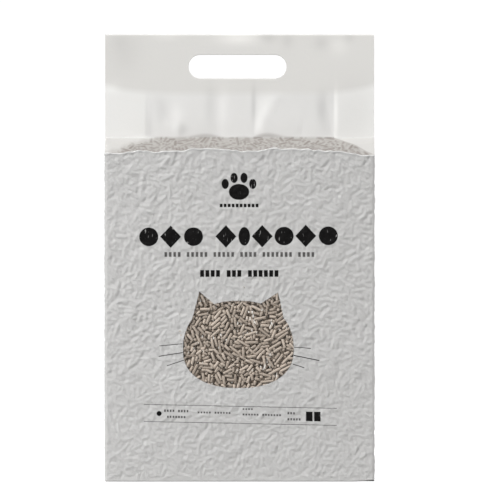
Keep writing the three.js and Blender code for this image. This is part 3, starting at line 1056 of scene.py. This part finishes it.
def painted_light_and_shade_at(x, z):
    """How much lighter the painted light and shade make the frosted film at each place than its plain colour.
    """
    painted_light_and_shade = np.zeros(x.shape)
    for (x0, z0), half_width, half_height, amount in PAINTED_LIGHT_PATCHES:
        painted_light_and_shade += amount * np.exp(-(((x - x0) / half_width) ** 2) - ((z - z0) / half_height) ** 2)
    return 1.4 * painted_light_and_shade


def folded_loop(to_ridge, spread):
    """The film's course at one level: front panel, right gusset, back panel and left gusset."""
    h = HALF_DEPTH * (1 - to_ridge) + 1.5 * PLY_GAP * to_ridge
    gap = PLY_GAP * spread
    t = np.arange(PANEL_COLS) / PANEL_COLS
    front = np.stack([HALF_WIDTH * (2 * t - 1), 0 * t - h], 1)
    front[1, 0], front[-1, 0] = -HALF_WIDTH + 0.15, HALF_WIDTH - 0.15
    walk = np.arange(SIDE_COLS) / SIDE_COLS * 2 * HALF_DEPTH
    leg = HALF_DEPTH * to_ridge
    x = HALF_WIDTH - np.clip(np.minimum(walk, 2 * HALF_DEPTH - walk), 0, leg)
    inner = h - np.minimum(gap, h * 0.7)
    crossing = (walk - leg) / max(2 * HALF_DEPTH - 2 * leg, 1e-6)
    y = -inner + 2 * inner * np.clip(crossing, 0, 1)
    y[0] = -h
    gusset = np.stack([x, y], 1)
    return np.concatenate([front, gusset, -front, -gusset])


def top_grid():
    """Every point of the film above the crease, and how much litter shows through it, with a painted shadow
    along the hip fold.
    """
    share = np.linspace(0, 1, ROOF_ROWS + 1)[1:]
    steep = ROOF_LENGTH / (RIDGE - BRICK_HEIGHT)
    roof = np.stack([folded_loop(s, steep * min(1, 8 * (1 - s) + 0.33)) for s in share])
    roof_z = BRICK_HEIGHT + (RIDGE - BRICK_HEIGHT) * share
    head_z = np.linspace(RIDGE, BAG_HEIGHT, HEADER_ROWS + 1)[1:]
    head = np.stack([folded_loop(1.0, 1.0)] * HEADER_ROWS)
    plan = np.concatenate([roof, head])
    z = np.concatenate([roof_z, head_z])[:, None] * np.ones(COLS)
    shown = np.zeros(z.shape)
    x = plan[..., 0]
    slope = np.array([0, RIDGE - BRICK_HEIGHT, HALF_DEPTH]) / ROOF_LENGTH
    points = np.concatenate([plan, z[..., None]], 2)
    for side, start in enumerate((0, BACK)):
        cols = slice(start, start + PANEL_COLS)
        rows = slice(0, ROOF_ROWS)
        relief = roof_relief[side]
        at = np.clip(share * len(relief), 0, len(relief) - 1).astype(int)
        across = np.linspace(0, relief.shape[1] - 1, PANEL_COLS).astype(int)
        lumps = relief[(at * ROOF_STRETCH).astype(int)][:, across]
        tops = pooled(roof_tops[side])[(at * ROOF_STRETCH).astype(int)][:, across]
        ragged = 2.2 * slow_noise(PANEL_COLS, 5) + 1.2 * slow_noise(PANEL_COLS, 2)
        left_end = smooth_step(-x[rows, cols], -60, 90)
        fold = HALF_WIDTH - HALF_DEPTH * share[:, None] - np.abs(x[rows, cols])
        hip = fold + ragged * (0.2 + 0.8 * left_end)
        heap = smooth_step(hip, -0.5 - 5.5 * left_end, 2 + 14 * left_end)
        filled = heap * (1 - 0.8 * smooth_step(share, 0.93, 1.0)[:, None])
        outward = slope * (1, -1 if side == 0 else 1, 1)
        points[rows, cols] += (filled * (lumps + 0.1))[..., None] * outward
        # Painted shadow: a dark line along the hip fold, mostly at the right end.
        hip_shadow = 0.8 * (1 - left_end) * np.exp(-((fold / 0.7) ** 2))
        shown[rows, cols] = np.maximum(heap * (0.46 + 0.54 * np.clip(1 + tops, 0, 1)), hip_shadow)
    for start in (0, BACK):
        cols = slice(start, start + PANEL_COLS)
        x_here = x[ROOF_ROWS:, cols]
        lift = 0.8 + 0.5 * slow_noise(PANEL_COLS, 9)
        for middle, half_width, rise in HEAPS:
            lift = lift + rise * np.exp(-(((x_here - middle) / half_width) ** 2))
        heaped = 1 - smooth_step(z[ROOF_ROWS:, cols], RIDGE + lift - 2.2, RIDGE + lift + 1.6)
        shown[ROOF_ROWS:, cols] = 0.5 * heaped * smooth_step(86 - np.abs(x_here), 0, 6)
    wander = crease_wander(wall_points[-1, :, 0])
    points[:ROOF_ROWS, :, 2] += wander * (1 - smooth_step(share, 0, 0.6))[:, None]
    x, z = points[..., 0], points[..., 2]
    loose = smooth_step(z, RIDGE - 2, RIDGE + 3) * (1 - smooth_step(z, WELD_FROM - 18, WELD_FROM + 2))
    two_plies = loose * smooth_step(HALF_WIDTH - HALF_DEPTH - np.abs(x), -1.6, 1.6)
    for start in (0, BACK):
        cols = slice(start, start + PANEL_COLS)
        points[:, cols, 1] *= 1 - 0.6 * two_plies[:, cols]
    points[..., 1] -= folds_at(x, z) * smooth_step(z, RIDGE - 5, RIDGE + 3)
    return points, shown


def hand_slot_tool():
    """A round-ended bar, long enough to go through the header."""
    shape = bmesh.new()
    radius = SLOT_HEIGHT / 2
    reach = SLOT_LENGTH / 2 - radius
    rim = []
    for end, first in ((1, -math.pi / 2), (-1, math.pi / 2)):
        for k in range(SLOT_STEPS + 1):
            angle = first + math.pi * k / SLOT_STEPS
            rim.append((SLOT_X + end * reach + radius * math.cos(angle), SLOT_Z + radius * math.sin(angle)))
    near, far = ([shape.verts.new((x * MM, y * MM, z * MM)) for x, z in rim] for y in (-12, 12))
    shape.faces.new(near)
    shape.faces.new(far[::-1])
    for a, b, c, d in zip(near, near[1:] + near[:1], far[1:] + far[:1], far):
        shape.faces.new((b, a, d, c))
    bmesh.ops.recalc_face_normals(shape, faces=shape.faces)
    mesh = bpy.data.meshes.new("hand_slot_tool")
    shape.to_mesh(mesh)
    shape.free()
    return placed("hand_slot_tool", mesh)


LOOSE_LOW, LOOSE_HIGH = (0.76, 0.755, 0.74, 1), (0.825, 0.82, 0.805, 1)
EARS = (0.84, 0.835, 0.815, 1)  # the ends of the header, where the gussets are between the panels
WELDED = (0.725, 0.715, 0.69, 1)
ROOF = (0.54, 0.53, 0.512, 1)
LITTER_AND_HIP_SHADOW = (0.195, 0.17, 0.152, 1)


def frosted_film():
    """Film without its white: milky, greyer where it is welded, and brown where litter lies under it. Its
    colour also carries painted light and shade on its folds and header, a painted shadow along the hip fold
    and a painted highlight on the crease.
    """
    made, tree, shader, place, _ = film_material("frosted_film", 120.0, 0.2)
    surface = next(n for n in tree.nodes if n.type == "GROUP")
    x, z = place_in_mm(tree, place)
    off_middle = calc(tree, "ABSOLUTE", calc(tree, "DIVIDE", x, HALF_WIDTH))
    edge = calc(tree, "MULTIPLY_ADD", calc(tree, "POWER", off_middle, 5.0), WELD_RISES, WELD_FROM)
    welded = calc(tree, "MULTIPLY_ADD", calc(tree, "SUBTRACT", z, edge), 0.15, 0.5, clamp=True)
    in_ear = calc(tree, "MULTIPLY_ADD", off_middle, HALF_WIDTH, HALF_DEPTH - HALF_WIDTH, clamp=True)
    on_roof = calc(tree, "MULTIPLY_ADD", z, -0.7, 0.7 * RIDGE + 0.5, clamp=True)
    colour = mixed(tree, surface.outputs["Tone And Painted Light"], LOOSE_LOW, LOOSE_HIGH)
    colour = mixed(tree, welded, mixed(tree, in_ear, colour, EARS), WELDED)
    # Painted light and shade from the patches, lighter or darker by their amounts.
    value = calc(tree, "ADD", attribute(tree, "painted_light_and_shade"), 1.0)
    colour = node(tree, "ShaderNodeHueSaturation", {"Color": colour, "Value": value}).outputs[0]
    colour = mixed(tree, on_roof, colour, ROOF)
    # Brown where litter shows through the film, and along the hip fold as a painted shadow.
    shows = calc(tree, "MULTIPLY", attribute(tree, "litter_and_hip_shadow"), 0.9)
    colour = mixed(tree, shows, colour, LITTER_AND_HIP_SHADOW)
    # Painted highlight along the crease.
    colour = mixed(tree, attribute(tree, "crease_highlight"), colour, CREASE_HIGHLIGHT)
    tree.links.new(colour, shader.inputs["Base Color"])
    return made


def folded_top():
    points, shown = top_grid()
    points = np.concatenate([wall_points[-1:], points])
    shown = np.concatenate([shown[:1], shown])
    rows = len(points)
    faces = grid_faces(rows, COLS, wraps=True)
    sides = len(faces)
    faces.append(list(range(COLS))[::-1])
    faces.append(list(range((rows - 1) * COLS, rows * COLS)))
    smooth = np.arange(len(faces)) < sides
    piece = new_piece("film_top", points.reshape(-1, 3), faces, [frosted_film()], smooth)
    crease_highlight = np.zeros(shown.shape)
    # Painted highlight along the crease, on the lowest row above it.
    crease_highlight[0] = 0.8
    painted_light_and_shade = painted_light_and_shade_at(points[..., 0], points[..., 2])
    for name, values in (("litter_and_hip_shadow", shown), ("crease_highlight", crease_highlight), ("painted_light_and_shade", painted_light_and_shade)):
        mark(piece.data, name, values)
    tool = hand_slot_tool()
    punch = piece.modifiers.new("punch", "BOOLEAN")
    punch.operation = "DIFFERENCE"
    punch.solver = "EXACT"
    punch.object = tool
    ready = piece.evaluated_get(bpy.context.evaluated_depsgraph_get())
    punched = bpy.data.meshes.new_from_object(ready)
    piece.modifiers.remove(punch)
    piece.data = punched
    bpy.data.objects.remove(tool)
    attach(piece, "root")
    return piece


folded_top()

# ==== Floor, light and camera ====
# A white table and a white surround, soft light from all round, one broad light from the upper left, and a
# weaker one from each of the other sides.
VIEW_WIDTH = 463.45  # how much of the front panel's plane the view takes in
VIEW_X, VIEW_Z = 9.6, 214.75
LENS = 1150.0  # long, so that the pack is seen without perspective
SURROUND_LIGHT, SURROUND_SEEN = 0.43, 1.05
FLOOR_REACH = 6.0  # in metres
FLOOR_LOW, FLOOR_HIGH = (0.45, 0.45, 0.45, 1), (0.5, 0.5, 0.5, 1)
FLOOR_GLOW = 0.75  # makes the floor as white as the surround, for the camera alone


def floor():
    mesh = bpy.data.meshes.new("floor")
    far = FLOOR_REACH
    mesh.from_pydata([(-far, -far, 0), (far, -far, 0), (far, far, 0), (-far, far, 0)], [], [(0, 1, 2, 3)])
    made, tree, shader = material("white_table", Roughness=0.9, Emission_Color=(1, 1, 1, 1))
    specks = noise(tree, node(tree, "ShaderNodeTexCoord").outputs["Object"], 90.0)["Fac"]
    tree.links.new(mixed(tree, specks, FLOOR_LOW, FLOOR_HIGH), shader.inputs["Base Color"])
    seen = node(tree, "ShaderNodeLightPath").outputs["Is Camera Ray"]
    tree.links.new(calc(tree, "MULTIPLY", seen, FLOOR_GLOW), shader.inputs["Emission Strength"])
    mesh.materials.append(made)
    placed("floor", mesh)


def surround():
    """White to the camera, and dimmer as a light."""
    world = bpy.data.worlds.new("studio")
    world.use_nodes = True
    tree = world.node_tree
    shader = tree.nodes["Background"]
    seen = node(tree, "ShaderNodeLightPath").outputs["Is Camera Ray"]
    shader.inputs["Color"].default_value = (1, 1, 1, 1)
    strength = calc(tree, "MULTIPLY_ADD", seen, SURROUND_SEEN - SURROUND_LIGHT, SURROUND_LIGHT)
    tree.links.new(strength, shader.inputs["Strength"])
    bpy.context.scene.world = world


def sun(name, strength, soft, come_from):
    light = bpy.data.lights.new(name, "SUN")
    light.energy = strength
    light.angle = math.radians(soft)
    placed(name, light).rotation_euler = (-Vector(come_from)).to_track_quat("-Z", "Y").to_euler()


floor()
surround()
sun("key", 3.0, 12, (-1.2, -0.85, 1.42))
sun("right", 1.3, 20, (1.5, -0.1, 0.7))
sun("back", 1.3, 20, (-0.2, 1.4, 0.7))

view = bpy.data.cameras.new("front")
view.lens = LENS
view.sensor_width = 36.0
distance = VIEW_WIDTH * MM * LENS / view.sensor_width
view.clip_start, view.clip_end = 0.1, 2 * distance
camera = placed("front", view)
camera.location = (VIEW_X * MM, -HALF_DEPTH * MM - distance, VIEW_Z * MM)
camera.rotation_euler = (math.pi / 2, 0, 0)
bpy.context.scene.camera = camera
bpy.context.scene.view_settings.view_transform = "Standard"
